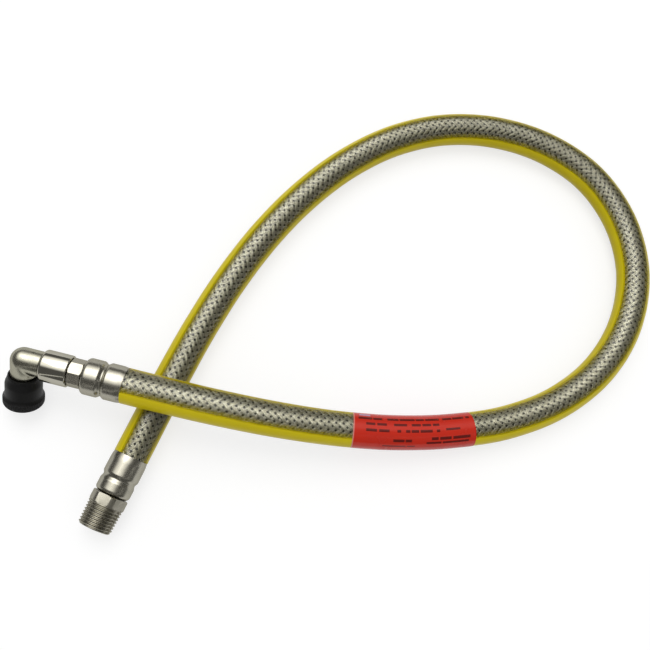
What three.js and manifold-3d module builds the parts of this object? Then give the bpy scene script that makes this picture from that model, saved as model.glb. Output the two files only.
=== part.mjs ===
// A flexible gas test hose that lies in one loop: a lined, wire braided and sheathed hose with a label,
// a crimped end with a taper thread, and a crimped end with a swivel elbow, a bayonet plug and a cap.
// Millimetres, +Z up. The origin is on the surface that the hose lies on, in the middle of its footprint.

import * as THREE from "three";
import { mergeVertices } from "three/addons/utils/BufferGeometryUtils.js";
import Module from "manifold-3d";

const wasm = await Module();
wasm.setup();

// Driving dimensions

const clearance = 0.3;

const hoseDiameter = 21.5;
const sheathWall = 1.75;
const braidThickness = 0.8;
const linerWall = 1.4;
const hoseSides = 12;
const hoseSteps = 46;

const labelThickness = 0.3;
const labelGap = 0.3;
const labelStart = 161;
const labelLength = 78.7;
const labelSides = 24;
const labelSteps = 7;

const ferruleProud = 0.3;
const ferruleMouthInset = 0.25;
const ferruleGrooveWall = 0.7;
const ferruleEndWall = 1.5;
const ferruleLength = 24.6;
const ferruleShoulder = 2.6;
const elbowCrimpGroove = 12.6;
const elbowBulgeProud = 0.3;
const threadCrimpGroove = 14.2;
const threadBulgeProud = -0.15;

const barbWall = 1.5;
const neckStep = 0.3;
const barbCount = 4;
const barbDepth = 0.6;
const barbRise = 0.75;
const barbLand = 0.9;

const hexSides = 6;
const hexAcrossFlats = 20.5;
const hexTurnedRadius = 11;
const hexLength = 6.1;
const hexRoll = 44.5;
const threadGaugeRadius = 20.955 / 2;
const threadGaugeLength = 8.2;
const threadTaper = 1 / 32;
const threadLength = 14.6;
const threadEndChamfer = 0.9;
const threadBoreRadius = 6;

const octagonSides = 8;
const octagonAcrossFlats = 16.2;
const octagonTurnedRadius = 8.75;
const octagonLength = 7.8;
const octagonRoll = 20;
const edgeChamfer = 0.5;

const collarRadius = 9.6;
const collarLength = 16.6;
const collarChamfer = 1.9;
const collarLipLength = 5.5;
const collarWall = 2.1;
const spigotNoseLength = 7.6;
const spigotWall = 1;
const flangeDepth = 1.3;
const flangeThickness = 2;
const washerThickness = 0.8;
const sealSectionRadius = 0.6;
const sealGap = 0.2;
const sealSpacing = 2.8;
const firstSealOffset = 2.4;
const sealGrooveWidth = 1.8;
const sealSides = 6;

const elbowArmRadius = 7.65;
const elbowArmLength = 11.2;
const elbowBoreStep = 1;
const swivelSocketWall = 1.6;
const plugFall = 47;

const plugArmLength = 13;
const plugBarrelStep = 0.85;
const plugNoseStep = 0.8;
const plugNoseLength = 5.5;
const plugNoseEnd = 29.5;
const bayonetPinRadius = 1.4;
const bayonetPinProud = 0.15;
const bayonetPinSetback = 5;

const capMouthPlace = 10.6;
const capMouthWall = 1;
const capShoulderLength = 6.5;
const capBodyRadius = 10.7;
const capBandRadius = 12;
const capBandLength = 6.2;
const capBandStep = 1.2;
const capFloor = 1.9;
const capEndFillet = 1.6;

const turnedSides = 24;
const cornerSteps = 3;
const pinSides = 12;
const overcut = 1;

// The hose's centre line, from inside the elbow's ferrule to inside the thread's ferrule

const routePoints = [
  [-157.4, -53.2, 31.8],
  [-140.5, -57.3, 32.1],
  [-121.9, -61.8, 32.6],
  [-84.1, -70.2, 32.3],
  [-46.6, -76.9, 28.8],
  [-8.8, -81.5, 23.8],
  [29.1, -83.3, 18.7],
  [67.1, -81.4, 14.3],
  [104.8, -75.1, 11.6],
  [140.5, -61.4, 10.8],
  [171.1, -38.6, 10.8],
  [192.7, -7.4, 10.8],
  [202.3, 29.6, 10.8],
  [197.1, 67.3, 10.8],
  [177.7, 100.0, 10.8],
  [146.7, 122.0, 10.8],
  [110.0, 132.7, 10.8],
  [71.8, 132.6, 10.8],
  [35.1, 122.1, 10.8],
  [1.9, 103.1, 10.8],
  [-27.3, 78.3, 10.8],
  [-52.7, 49.6, 10.8],
  [-74.6, 18.2, 10.8],
  [-93.6, -15.1, 10.8],
  [-110.5, -49.5, 10.9],
  [-126.3, -84.4, 11.1],
  [-134.1, -101.9, 11.2],
  [-142.0, -119.4, 11.2],
];

// Sizes that follow from the driving dimensions

const hoseRadius = hoseDiameter / 2;
const sheathBoreRadius = hoseRadius - sheathWall;
const braidRadius = sheathBoreRadius - clearance;
const braidBoreRadius = braidRadius - braidThickness;
const linerRadius = braidBoreRadius - clearance;
const linerBoreRadius = linerRadius - linerWall;
const barbRadius = linerBoreRadius * Math.cos(Math.PI / hoseSides) - clearance;
const hoseInsertion = ferruleLength - ferruleEndWall - clearance;
const labelBoreRadius = (hoseRadius + labelGap) / Math.cos(Math.PI / labelSides);

const barbBoreRadius = barbRadius - barbWall;
const tailNeckRadius = barbRadius + neckStep;
const hexCoreRadius = (threadBoreRadius + hexAcrossFlats / 2) / 2;
const hexRingBore = (threadBoreRadius + hexCoreRadius) / 2;

const collarBoreRadius = collarRadius - collarWall;
const flangeRadius = collarBoreRadius - clearance;
const spigotNeckRadius = flangeRadius - flangeDepth;
const swivelSocketRadius = collarBoreRadius - clearance;
const sealBoreRadius = swivelSocketRadius - swivelSocketWall;
const spigotNoseRadius = sealBoreRadius - clearance;
const sealCentreRadius = sealBoreRadius - sealGap - sealSectionRadius;
const sealGrooveRadius = sealCentreRadius - sealSectionRadius - sealGap;
const spigotBoreRadius = sealGrooveRadius - spigotWall;
const octagonRingBore = (spigotBoreRadius + spigotNeckRadius) / 2;

const elbowBoreRadius = spigotBoreRadius + elbowBoreStep;
const plugBarrelRadius = elbowArmRadius - plugBarrelStep;
const plugBarrelEnd = plugNoseEnd - plugNoseLength;
const plugNoseRadius = plugBarrelRadius - plugNoseStep;
const bayonetPinReach = elbowArmRadius + bayonetPinProud;
const bayonetPinPlace = plugBarrelEnd - bayonetPinSetback;

// Materials

const material = (color, roughness, metalness, options = {}) =>
  new THREE.MeshStandardMaterial({ color, roughness, metalness, ...options });

const blackRubber = material(0x1d1d1b, 0.8, 0);
const steelWire = material(0xb9b6a6, 0.35, 0.9);
const clearSheathing = material(0xd9d27a, 0.2, 0, { transparent: true, opacity: 0.4 });
const redFilm = material(0xb3201a, 0.35, 0);
const stainlessSteel = material(0xa9a99c, 0.28, 1);
const nickelPlate = material(0xa5a495, 0.35, 1);
const polishedNickel = material(0xc2c1b6, 0.12, 1);
const whitePlastic = material(0xe8e6df, 0.5, 0);
const blackPlastic = material(0x1b1b1a, 0.55, 0);

// Helpers for solids

function asSolid(geometry) {
  const plain = geometry.clone();
  plain.deleteAttribute("normal");
  plain.deleteAttribute("uv");
  const merged = mergeVertices(plain, 1e-4);
  const mesh = new wasm.Mesh({
    numProp: 3,
    vertProperties: new Float32Array(merged.attributes.position.array),
    triVerts: new Uint32Array(merged.index.array),
  });
  return new wasm.Manifold(mesh);
}

function asGeometry(solid) {
  const mesh = solid.getMesh();
  const geometry = new THREE.BufferGeometry();
  geometry.setAttribute("position", new THREE.BufferAttribute(new Float32Array(mesh.vertProperties), 3));
  geometry.setIndex(new THREE.BufferAttribute(new Uint32Array(mesh.triVerts), 1));
  geometry.computeVertexNormals();
  return geometry;
}

// A closed outline of [radius, height] pairs turned about +Z
function turned(outline, sides = turnedSides) {
  const points = [...outline, outline[0]].map(([radius, height]) => new THREE.Vector2(radius, height));
  return new THREE.LatheGeometry(points, sides).rotateX(Math.PI / 2);
}

// Points of an arc about [radius, height], from one angle to another in degrees
function arc(centre, size, from, to, steps = cornerSteps) {
  return Array.from({ length: steps + 1 }, (_, i) => {
    const angle = THREE.MathUtils.degToRad(from + ((to - from) * i) / steps);
    return [centre[0] + size * Math.cos(angle), centre[1] + size * Math.sin(angle)];
  });
}

function plainRing(outer, inner, low, high) {
  return turned([[inner, low], [outer, low], [outer, high], [inner, high]]);
}

function plainRod(radius, low, high) {
  return plainRing(radius, 0, low, high);
}

// A bar of regular section between two heights, its corners turned down to a radius
function spannerBar(sides, acrossFlats, turnedRadius, low, high, roll) {
  const cornerRadius = acrossFlats / 2 / Math.cos(Math.PI / sides);
  const corners = Array.from({ length: sides }, (_, i) => {
    const angle = (2 * Math.PI * i) / sides + THREE.MathUtils.degToRad(roll);
    return new THREE.Vector2(cornerRadius * Math.cos(angle), cornerRadius * Math.sin(angle));
  });
  const bar = new THREE.ExtrudeGeometry(new THREE.Shape(corners), { depth: high - low, bevelEnabled: false });
  bar.translate(0, 0, low);
  const chamfered = turned([
    [0, low],
    [turnedRadius - edgeChamfer, low],
    [turnedRadius, low + edgeChamfer],
    [turnedRadius, high - edgeChamfer],
    [turnedRadius - edgeChamfer, high],
    [0, high],
  ]);
  return asSolid(bar).intersect(asSolid(chamfered));
}

// The saw teeth that grip the liner, from the hose's side towards the fitting
function barbOutline(start, end) {
  const pitch = (end - start) / barbCount;
  return Array.from({ length: barbCount }, (_, i) => [
    [barbRadius - barbDepth, start + pitch * i],
    [barbRadius, start + pitch * (i + barbRise)],
    [barbRadius, start + pitch * (i + barbLand)],
  ]).flat();
}

// The route and its frames

const route = new THREE.CatmullRomCurve3(
  routePoints.map((point) => new THREE.Vector3(...point)),
  false,
  "catmullrom",
  0.5,
);

class Stretch extends THREE.Curve {
  constructor(curve, start, length) {
    super();
    this.curve = curve;
    this.total = curve.getLength();
    this.start = start;
    this.length = length;
  }

  getPoint(t, target = new THREE.Vector3()) {
    return this.curve.getPointAt((this.start + t * this.length) / this.total, target);
  }
}

function polygon(radius, sides) {
  return Array.from({ length: sides }, (_, i) => {
    const angle = (2 * Math.PI * (i + 0.5)) / sides;
    return new THREE.Vector2(radius * Math.cos(angle), radius * Math.sin(angle));
  });
}

function tubeAlong(curve, outer, inner, sides, steps) {
  const section = new THREE.Shape(polygon(outer, sides));
  section.holes.push(new THREE.Path(polygon(inner, sides)));
  return new THREE.ExtrudeGeometry(section, { steps, extrudePath: curve });
}

// The place and direction of an end fitting, +Z pointing away from the hose at the ferrule's mouth
function endFrame(end, outward) {
  const frame = new THREE.Group();
  frame.position.copy(end).addScaledVector(outward, -hoseInsertion);
  frame.quaternion.setFromUnitVectors(new THREE.Vector3(0, 0, 1), outward);
  frame.updateMatrixWorld(true);
  return frame;
}

const elbowOutward = route.points[0].clone().sub(route.points[1]).normalize();
const threadOutward = route.points.at(-1).clone().sub(route.points.at(-2)).normalize();
const elbowEnd = endFrame(route.points[0], elbowOutward);
const threadEnd = endFrame(route.points.at(-1), threadOutward);

const hose = new THREE.Group();
hose.add(elbowEnd, threadEnd);

function addPart(parent, name, shape, finish) {
  const geometry = shape instanceof THREE.BufferGeometry ? shape : asGeometry(shape);
  const mesh = new THREE.Mesh(geometry, finish);
  mesh.name = name;
  parent.add(mesh);
  return mesh;
}

// Hose layers: the liner and the braid run into the ferrules, the sheath stops at their mouths

function hoseLayer(outer, inner) {
  return tubeAlong(route, outer, inner, hoseSides, hoseSteps);
}

function sheathSolid() {
  const full = asSolid(hoseLayer(hoseRadius, sheathBoreRadius));
  const trims = [elbowEnd, threadEnd].map((frame) => {
    const block = plainRod(2 * hoseRadius, -clearance, ferruleLength + clearance);
    return asSolid(block.applyMatrix4(frame.matrixWorld));
  });
  return full.subtract(trims[0]).subtract(trims[1]);
}

function labelGeometry() {
  const stretch = new Stretch(route, labelStart, labelLength);
  return tubeAlong(stretch, labelBoreRadius + labelThickness, labelBoreRadius, labelSides, labelSteps);
}

addPart(hose, "hose_liner", hoseLayer(linerRadius, linerBoreRadius), blackRubber);
addPart(hose, "wire_braid", hoseLayer(braidRadius, braidBoreRadius), steelWire);
addPart(hose, "clear_sheath", sheathSolid(), clearSheathing);
addPart(hose, "red_label", labelGeometry(), redFilm);

// Ferrules: a deep cup crimped in two bulges with a groove between them

function ferrule(groovePlace, endProud) {
  const bore = braidRadius + clearance;
  const bulge = hoseRadius + ferruleProud;
  const endBulge = hoseRadius + endProud;
  const groove = bore + ferruleGrooveWall;
  const shoulder = [endBulge - ferruleShoulder, ferruleLength - ferruleShoulder];
  return turned([
    [bore, 0],
    [hoseRadius - ferruleMouthInset, 0],
    [bulge, groovePlace / 3],
    [bulge, groovePlace - ferruleShoulder],
    [bulge - (bulge - groove) / 3, groovePlace - ferruleShoulder / 2],
    [groove, groovePlace],
    [endBulge - (endBulge - groove) / 3, groovePlace + ferruleShoulder / 2],
    [endBulge, groovePlace + ferruleShoulder],
    ...arc(shoulder, ferruleShoulder, 0, 60),
    [shoulder[0], ferruleLength],
    [tailNeckRadius + clearance, ferruleLength],
    [tailNeckRadius + clearance, ferruleLength - ferruleEndWall],
    [bore, ferruleLength - ferruleEndWall],
  ]);
}

addPart(elbowEnd, "elbow_end_ferrule", ferrule(elbowCrimpGroove, elbowBulgeProud), stainlessSteel);
addPart(threadEnd, "thread_end_ferrule", ferrule(threadCrimpGroove, threadBulgeProud), stainlessSteel);

// The threaded tail: barb, neck, hexagon and taper thread in one turned piece

const hexLow = ferruleLength + clearance;
const hexHigh = hexLow + hexLength;
const threadHigh = hexHigh + threadLength;

function threadRadiusAt(distanceFromEnd) {
  return threadGaugeRadius + (distanceFromEnd - threadGaugeLength) * threadTaper;
}

function threadedTail() {
  const body = turned([
    [barbBoreRadius, clearance],
    ...barbOutline(clearance, hoseInsertion),
    [barbRadius, hoseInsertion],
    [tailNeckRadius, hoseInsertion + clearance],
    [tailNeckRadius, hexLow],
    [hexCoreRadius, hexLow],
    [hexCoreRadius, hexHigh],
    [threadRadiusAt(threadLength), hexHigh],
    [threadRadiusAt(threadEndChamfer), threadHigh - threadEndChamfer],
    [threadRadiusAt(0) - threadEndChamfer, threadHigh],
    [threadBoreRadius, threadHigh],
    [threadBoreRadius, hexLow + hexLength / 2],
    [barbBoreRadius, hexLow],
  ]);
  const core = plainRod(hexRingBore, hexLow - overcut, hexHigh + overcut);
  const hex = spannerBar(hexSides, hexAcrossFlats, hexTurnedRadius, hexLow, hexHigh, hexRoll);
  return asSolid(body).add(hex.subtract(asSolid(core)));
}

addPart(threadEnd, "threaded_tail", threadedTail(), nickelPlate);

// The swivel tail: barb, neck, octagon, spigot, thrust flange and a nose with two seal grooves

const octagonLow = ferruleLength + clearance;
const octagonHigh = octagonLow + octagonLength;
const collarLow = octagonHigh + clearance;
const collarHigh = collarLow + collarLength;
const collarLipHigh = collarLow + collarLipLength;
const washerLow = collarLipHigh + clearance;
const flangeLow = washerLow + washerThickness + clearance;
const flangeHigh = flangeLow + flangeThickness;
const noseHigh = flangeHigh + spigotNoseLength;
const sealPlaces = [flangeHigh + firstSealOffset, flangeHigh + firstSealOffset + sealSpacing];

function swivelTail() {
  const grooves = sealPlaces.flatMap((place) => [
    [spigotNoseRadius, place - sealGrooveWidth / 2],
    [sealGrooveRadius, place - sealGrooveWidth / 2],
    [sealGrooveRadius, place + sealGrooveWidth / 2],
    [spigotNoseRadius, place + sealGrooveWidth / 2],
  ]);
  const body = turned([
    [barbBoreRadius, clearance],
    ...barbOutline(clearance, hoseInsertion),
    [barbRadius, hoseInsertion],
    [tailNeckRadius, hoseInsertion + clearance],
    [tailNeckRadius, octagonLow],
    [spigotNeckRadius, octagonHigh],
    [spigotNeckRadius, flangeLow],
    [flangeRadius, flangeLow],
    [flangeRadius, flangeHigh],
    [spigotNoseRadius, flangeHigh],
    ...grooves,
    [spigotNoseRadius, noseHigh],
    [spigotBoreRadius, noseHigh],
    [spigotBoreRadius, octagonLow],
    [barbBoreRadius, octagonLow - edgeChamfer],
  ]);
  const bar = spannerBar(
    octagonSides,
    octagonAcrossFlats,
    octagonTurnedRadius,
    octagonLow,
    octagonHigh,
    octagonRoll,
  );
  const core = plainRod(octagonRingBore, octagonLow - overcut, octagonHigh + overcut);
  return asSolid(body).add(bar.subtract(asSolid(core)));
}

function sealRing(place) {
  const lastAngle = 360 - 360 / sealSides;
  return turned(arc([sealCentreRadius, place], sealSectionRadius, 0, lastAngle, sealSides - 1));
}

addPart(elbowEnd, "swivel_tail", swivelTail(), nickelPlate);
addPart(elbowEnd, "inner_seal_ring", sealRing(sealPlaces[0]), blackRubber);
addPart(elbowEnd, "outer_seal_ring", sealRing(sealPlaces[1]), blackRubber);

// The swivel collar screws onto the elbow and holds the tail's flange behind its lip

function swivelCollar() {
  const lipBore = spigotNeckRadius + clearance;
  return turned([
    [lipBore, collarLow],
    [collarRadius - edgeChamfer, collarLow],
    [collarRadius, collarLow + edgeChamfer],
    [collarRadius, collarHigh - collarChamfer],
    [collarRadius - collarChamfer, collarHigh],
    [collarBoreRadius, collarHigh],
    [collarBoreRadius, collarLipHigh],
    [lipBore, collarLipHigh],
  ]);
}

function thrustWasher() {
  return plainRing(flangeRadius, spigotNeckRadius + clearance, washerLow, washerLow + washerThickness);
}

addPart(elbowEnd, "swivel_collar", swivelCollar(), polishedNickel);
addPart(elbowEnd, "thrust_washer", thrustWasher(), whitePlastic);

// The elbow: an arm along the swivel axis, a round corner and a plug arm with two bayonet pins

const cornerPlace = collarHigh + clearance + elbowArmLength;

// The plug arm is square to the swivel axis, and rests turned so far that it falls by plugFall degrees
function plugArmFrame() {
  const sideways = new THREE.Vector3().crossVectors(elbowOutward, new THREE.Vector3(0, 0, -1)).normalize();
  const downward = new THREE.Vector3().crossVectors(sideways, elbowOutward);
  const fall = THREE.MathUtils.degToRad(plugFall);
  const axis = sideways.multiplyScalar(Math.cos(fall)).addScaledVector(downward, Math.sin(fall));
  const frame = new THREE.Group();
  frame.position.set(0, 0, cornerPlace);
  axis.applyQuaternion(elbowEnd.quaternion.clone().invert());
  frame.quaternion.setFromUnitVectors(new THREE.Vector3(0, 0, 1), axis);
  frame.updateMatrix();
  return frame;
}

const plugFrame = plugArmFrame();
elbowEnd.add(plugFrame);

function elbowBody() {
  const socketLow = flangeHigh + clearance;
  const socketHigh = noseHigh + clearance;
  const armStart = collarHigh + clearance;
  const arm = turned([
    [0, socketLow],
    [swivelSocketRadius, socketLow],
    [swivelSocketRadius, armStart],
    [elbowArmRadius, armStart],
    [elbowArmRadius, cornerPlace],
    [0, cornerPlace],
  ]);
  const corner = new THREE.SphereGeometry(elbowArmRadius, turnedSides, turnedSides / 2);
  corner.rotateX(Math.PI / 2).translate(0, 0, cornerPlace);
  const plug = turned([
    [0, 0],
    [elbowArmRadius, 0],
    [elbowArmRadius, plugArmLength],
    [plugBarrelRadius, plugArmLength + edgeChamfer],
    [plugBarrelRadius, plugBarrelEnd],
    [plugNoseRadius, plugBarrelEnd + edgeChamfer],
    [plugNoseRadius, plugNoseEnd - edgeChamfer],
    [plugNoseRadius - edgeChamfer, plugNoseEnd],
    [0, plugNoseEnd],
  ]);
  const pins = new THREE.CylinderGeometry(bayonetPinRadius, bayonetPinRadius, 2 * bayonetPinReach, pinSides);
  pins.translate(0, 0, bayonetPinPlace);
  const plugBore = plainRod(elbowBoreRadius, -overcut, plugNoseEnd + overcut);
  const armBore = turned([
    [0, socketLow - overcut],
    [sealBoreRadius, socketLow - overcut],
    [sealBoreRadius, socketHigh],
    [elbowBoreRadius, socketHigh],
    [elbowBoreRadius, cornerPlace + overcut],
    [0, cornerPlace + overcut],
  ]);
  const inEnd = (geometry) => asSolid(geometry.applyMatrix4(plugFrame.matrix));
  return asSolid(arm)
    .add(asSolid(corner))
    .add(inEnd(plug))
    .add(inEnd(pins))
    .subtract(inEnd(plugBore))
    .subtract(asSolid(armBore));
}

addPart(elbowEnd, "bayonet_elbow", elbowBody(), nickelPlate);

// The protective cap: a cup pushed over the plug, with a wider band round its closed end

function protectiveCap() {
  const bore = bayonetPinReach + clearance;
  const mouthRadius = bore + capMouthWall;
  const floor = plugNoseEnd + clearance;
  const end = floor + capFloor;
  const bandLow = end - capBandLength;
  return turned([
    [bore, capMouthPlace],
    [mouthRadius, capMouthPlace],
    [capBodyRadius, capMouthPlace + capShoulderLength],
    [capBodyRadius, bandLow],
    [capBandRadius, bandLow + capBandStep],
    ...arc([capBandRadius - capEndFillet, end - capEndFillet], capEndFillet, 0, 90),
    [0, end],
    [0, floor],
    [bore, floor],
  ]);
}

addPart(plugFrame, "protective_cap", protectiveCap(), blackPlastic);

export default hose;
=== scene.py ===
# %% [markdown]
# A gas hose in one loop
# The object is a short flexible gas hose. Bright steel wires are braided over a rubber liner,
# and a clear sheath with two yellow stripes covers them. One end has a taper thread, and the
# other an elbow that swivels, with a black cap on its plug.
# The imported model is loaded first, because every piece takes its place and its body from it.

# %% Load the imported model
import bpy
import math
import numpy as np
from mathutils import Matrix, Vector


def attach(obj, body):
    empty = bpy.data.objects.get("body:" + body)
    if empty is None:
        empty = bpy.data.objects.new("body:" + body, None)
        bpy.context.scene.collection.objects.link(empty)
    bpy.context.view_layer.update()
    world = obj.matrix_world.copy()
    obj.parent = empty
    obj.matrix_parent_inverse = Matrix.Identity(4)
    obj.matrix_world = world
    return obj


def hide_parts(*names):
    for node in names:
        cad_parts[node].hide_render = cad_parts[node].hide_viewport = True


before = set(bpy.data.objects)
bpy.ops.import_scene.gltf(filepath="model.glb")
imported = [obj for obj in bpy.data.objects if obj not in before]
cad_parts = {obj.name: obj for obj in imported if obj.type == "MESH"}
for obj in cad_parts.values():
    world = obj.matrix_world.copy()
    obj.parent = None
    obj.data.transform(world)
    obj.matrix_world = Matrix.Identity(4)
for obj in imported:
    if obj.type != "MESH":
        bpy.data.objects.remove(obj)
bpy.context.view_layer.update()
MM = 0.001

# %% [markdown]
# The camera
# The hose is seen from high above, a little from its end fittings' side. A camera can be placed
# by hand, or by the point it looks at, its distance and its angles. The second way is used,
# because each of those numbers can be measured and changed alone.

# %% Place the camera
AIM = Vector((-13.3, -10.6, -0.1)) * MM
CAMERA_DISTANCE = 468.41 * MM
CAMERA_ELEVATION = math.radians(74.90)
CAMERA_AZIMUTH = math.radians(23.942524)
CAMERA_ROLL = math.radians(24.70)
PICTURE_WIDTH = 650
FOCAL_PIXELS = 700
SENSOR_WIDTH = 36
CLIP_START = 10 * MM
CLIP_END = 50

towards_camera = Vector((
    -math.sin(CAMERA_AZIMUTH) * math.cos(CAMERA_ELEVATION),
    -math.cos(CAMERA_AZIMUTH) * math.cos(CAMERA_ELEVATION),
    math.sin(CAMERA_ELEVATION),
))
camera_data = bpy.data.cameras.new("camera")
camera_data.sensor_fit = "HORIZONTAL"
camera_data.sensor_width = SENSOR_WIDTH
camera_data.lens = SENSOR_WIDTH * FOCAL_PIXELS / PICTURE_WIDTH
camera_data.clip_start = CLIP_START
camera_data.clip_end = CLIP_END
camera = bpy.data.objects.new("camera", camera_data)
bpy.context.scene.collection.objects.link(camera)
look = towards_camera.to_track_quat("Z", "Y").to_matrix()
camera_turn = look @ Matrix.Rotation(CAMERA_ROLL, 3, "Z")
camera.matrix_world = Matrix.Translation(AIM + towards_camera * CAMERA_DISTANCE) @ camera_turn.to_4x4()
bpy.context.scene.camera = camera
PICTURE_RIGHT = camera_turn.col[0].copy()
PICTURE_UP = camera_turn.col[1].copy()
print("camera at", camera.matrix_world.translation, "lens", camera_data.lens)

# %% [markdown]
# The route of the hose
# The hose lies in one loop and passes over itself near its ends. Its centre line is a smooth
# curve through measured points. Each layer of the hose is later wrapped round this one line,
# so the helper gives, for any distance along it, the centre, the outer side and the top.

# %% Follow the centre line
ROUTE = np.array([
    (-0.1574, -0.0532, 0.0318),
    (-0.1405, -0.0573, 0.0321),
    (-0.1219, -0.0618, 0.0326),
    (-0.0841, -0.0702, 0.0323),
    (-0.0466, -0.0769, 0.0288),
    (-0.0088, -0.0815, 0.0238),
    (0.0291, -0.0833, 0.0187),
    (0.0671, -0.0814, 0.0143),
    (0.1048, -0.0751, 0.0116),
    (0.1405, -0.0614, 0.0108),
    (0.1711, -0.0386, 0.0108),
    (0.1927, -0.0074, 0.0108),
    (0.2023, 0.0296, 0.0108),
    (0.1971, 0.0673, 0.0108),
    (0.1777, 0.1000, 0.0108),
    (0.1467, 0.1220, 0.0108),
    (0.1100, 0.1327, 0.0108),
    (0.0718, 0.1326, 0.0108),
    (0.0351, 0.1221, 0.0108),
    (0.0019, 0.1031, 0.0108),
    (-0.0273, 0.0783, 0.0108),
    (-0.0527, 0.0496, 0.0108),
    (-0.0746, 0.0182, 0.0108),
    (-0.0936, -0.0151, 0.0108),
    (-0.1105, -0.0495, 0.0109),
    (-0.1263, -0.0844, 0.0111),
    (-0.1341, -0.1019, 0.0112),
    (-0.1420, -0.1194, 0.0112),
])
CURVE_STEPS = 40
FERRULE_DEPTH = 22.8 * MM


def smooth_curve(points, steps):
    """Points on a smooth curve through all the given points."""
    padded = np.vstack([2 * points[0] - points[1], points, 2 * points[-1] - points[-2]])
    t = np.linspace(0, 1, steps, endpoint=False)[:, None]
    spans = []
    for a, b, c, d in zip(padded[:-3], padded[1:-2], padded[2:-1], padded[3:]):
        cubic = (3 * b - 3 * c + d - a) * t ** 3
        square = (2 * a - 5 * b + 4 * c - d) * t ** 2
        spans.append((2 * b + (c - a) * t + square + cubic) / 2)
    return np.vstack(spans + [points[-1:]])


LINE = smooth_curve(ROUTE, CURVE_STEPS)
STATION = np.concatenate([[0], np.cumsum(np.linalg.norm(np.diff(LINE, axis=0), axis=1))])
HOSE_START = FERRULE_DEPTH
HOSE_END = STATION[-1] - FERRULE_DEPTH


def unit(vectors):
    return vectors / np.linalg.norm(vectors, axis=-1, keepdims=True)


LINE_TANGENT = unit(np.gradient(LINE, STATION, axis=0))


def along(stations):
    """Centre, outer side and top of the hose at distances along its centre line."""
    centre = np.stack([np.interp(stations, STATION, LINE[:, k]) for k in range(3)], -1)
    tangent = unit(np.stack([np.interp(stations, STATION, LINE_TANGENT[:, k]) for k in range(3)], -1))
    side = unit(np.cross(tangent, (0, 0, 1)))
    return centre, side, np.cross(side, tangent)


def wrap(stations, angles, radii):
    """Points round the centre line. Angle 0 is the outer side and 90 degrees is the top."""
    centre, side, top = along(stations)
    outwards = (radii * np.cos(angles))[..., None] * side
    return centre + outwards + (radii * np.sin(angles))[..., None] * top


print("visible hose", round(HOSE_END - HOSE_START, 4), "m")

# %% [markdown]
# A mesh from rings
# Sheath, stripes, liner and label all have one section that is swept along the hose. A curve
# with a bevel could do this, but it can't hold an angle that stays level with the floor, which
# the stripes need. So each layer is a grid of points: one closed ring per station.

# %% Build layers of the hose
HOSE_RADIUS = 10.75 * MM
SHEATH_INSIDE = 7.5 * MM
SHEATH_STEP = 2 * MM
HOSE_SIDES = 64
MERGE_DISTANCE = 0.002 * MM
LAYER_SMOOTH = 40


def grid_piece(name, points, closed_ends=True, uv=None):
    """A tube-like mesh from an array of rings, closed round each ring, with its UV map."""
    rings, sides = points.shape[:2]
    i, j = np.meshgrid(np.arange(rings - 1), np.arange(sides), indexing="ij")
    k = (j + 1) % sides
    here, ahead = i * sides, (i + 1) * sides
    quads = np.stack([here + j, here + k, ahead + k, ahead + j], -1).reshape(-1, 4)
    faces = [tuple(int(v) for v in quad) for quad in quads]
    if closed_ends:
        faces.append(tuple(reversed(range(sides))))
        faces.append(tuple((rings - 1) * sides + v for v in range(sides)))
    mesh = bpy.data.meshes.new(name)
    mesh.from_pydata([tuple(p) for p in points.reshape(-1, 3)], [], faces)
    mesh.update()
    if uv is not None:
        layer = mesh.uv_layers.new(name="wrap")
        corner = np.zeros(len(mesh.loops), np.int32)
        mesh.loops.foreach_get("vertex_index", corner)
        layer.data.foreach_set("uv", uv.reshape(-1, 2)[corner].astype(np.float32).ravel())
    piece = bpy.data.objects.new(name, mesh)
    bpy.context.scene.collection.objects.link(piece)
    return piece


def select_only(piece):
    bpy.ops.object.select_all(action="DESELECT")
    piece.select_set(True)
    bpy.context.view_layer.objects.active = piece


def point_outwards(piece, merge=False):
    """All faces turned outwards, after points in one place are merged if that is asked."""
    select_only(piece)
    bpy.ops.object.mode_set(mode="EDIT")
    bpy.ops.mesh.select_all(action="SELECT")
    if merge:
        bpy.ops.mesh.remove_doubles(threshold=MERGE_DISTANCE)
    bpy.ops.mesh.normals_make_consistent(inside=False)
    bpy.ops.object.mode_set(mode="OBJECT")


def smooth_by_angle(piece, degrees=LAYER_SMOOTH):
    select_only(piece)
    bpy.ops.object.shade_smooth_by_angle(angle=math.radians(degrees))


def stations_between(start, end, step):
    """Even distances along the hose, with both ends."""
    return np.linspace(start, end, int(round((end - start) / step)) + 1)


def wall_piece(name, outer, inner, turns, share):
    """A pipe's wall from its two skins, with a ring face at each end and one UV for both skins."""
    uv = np.stack([turns / (2 * math.pi), share], -1)
    uv = np.concatenate([uv, uv[::-1], uv[:1]])
    loop = np.concatenate([outer, inner[::-1], outer[:1]])
    piece = grid_piece(name, loop, closed_ends=False, uv=uv)
    point_outwards(piece, merge=True)
    smooth_by_angle(piece)
    return piece


def pipe_of_hose(name, start, end, step, outer, inner, sides):
    """A round pipe along the hose."""
    turn = np.linspace(0, 2 * math.pi, sides, endpoint=False)
    s, a = np.meshgrid(stations_between(start, end, step), turn, indexing="ij")
    return wall_piece(name, wrap(s, a, outer), wrap(s, a, inner), a, s)


sheath = pipe_of_hose(
    "clear_sheath_tube", HOSE_START, HOSE_END, SHEATH_STEP, HOSE_RADIUS, SHEATH_INSIDE, HOSE_SIDES,
)
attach(sheath, "hose")
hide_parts("clear_sheath")
print("sheath", len(sheath.data.polygons), "faces")

# %% [markdown]
# The rubber liner
# Under the wires lies a black rubber pipe, which carries the gas. It shows only as dark spots
# between the plaits. It is the same kind of layer as the sheath, a little smaller.

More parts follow.
